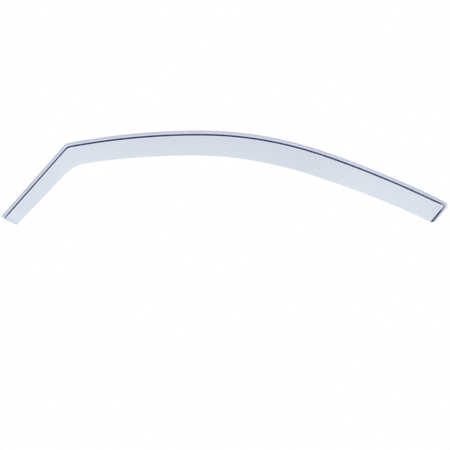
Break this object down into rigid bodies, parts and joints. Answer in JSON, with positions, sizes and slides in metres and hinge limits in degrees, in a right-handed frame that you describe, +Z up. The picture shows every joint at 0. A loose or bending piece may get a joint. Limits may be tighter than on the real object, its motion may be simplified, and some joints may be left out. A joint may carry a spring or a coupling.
{
  "type": "window rain deflector",
  "caption": "Long clear visor strip for a car's front door window: a joggled tongue slides into the window channel and holds a crowned outer blade that bends down the pillar.",
  "frame": {"origin": "on the joggle line at the crown of the roof arch, on the glass side of the tongue", "axes": "+X to the rear of the door, +Z up, -Y out of the car"},
  "size_m": [0.8905, 0.0397, 0.1881],
  "materials": {
    "clear_sheet": "clear, faintly blue-grey acrylic sheet with a gloss surface"
  },
  "bodies": {
    "root": {"deflector": "clear_sheet"}
  },
  "joints": []
}
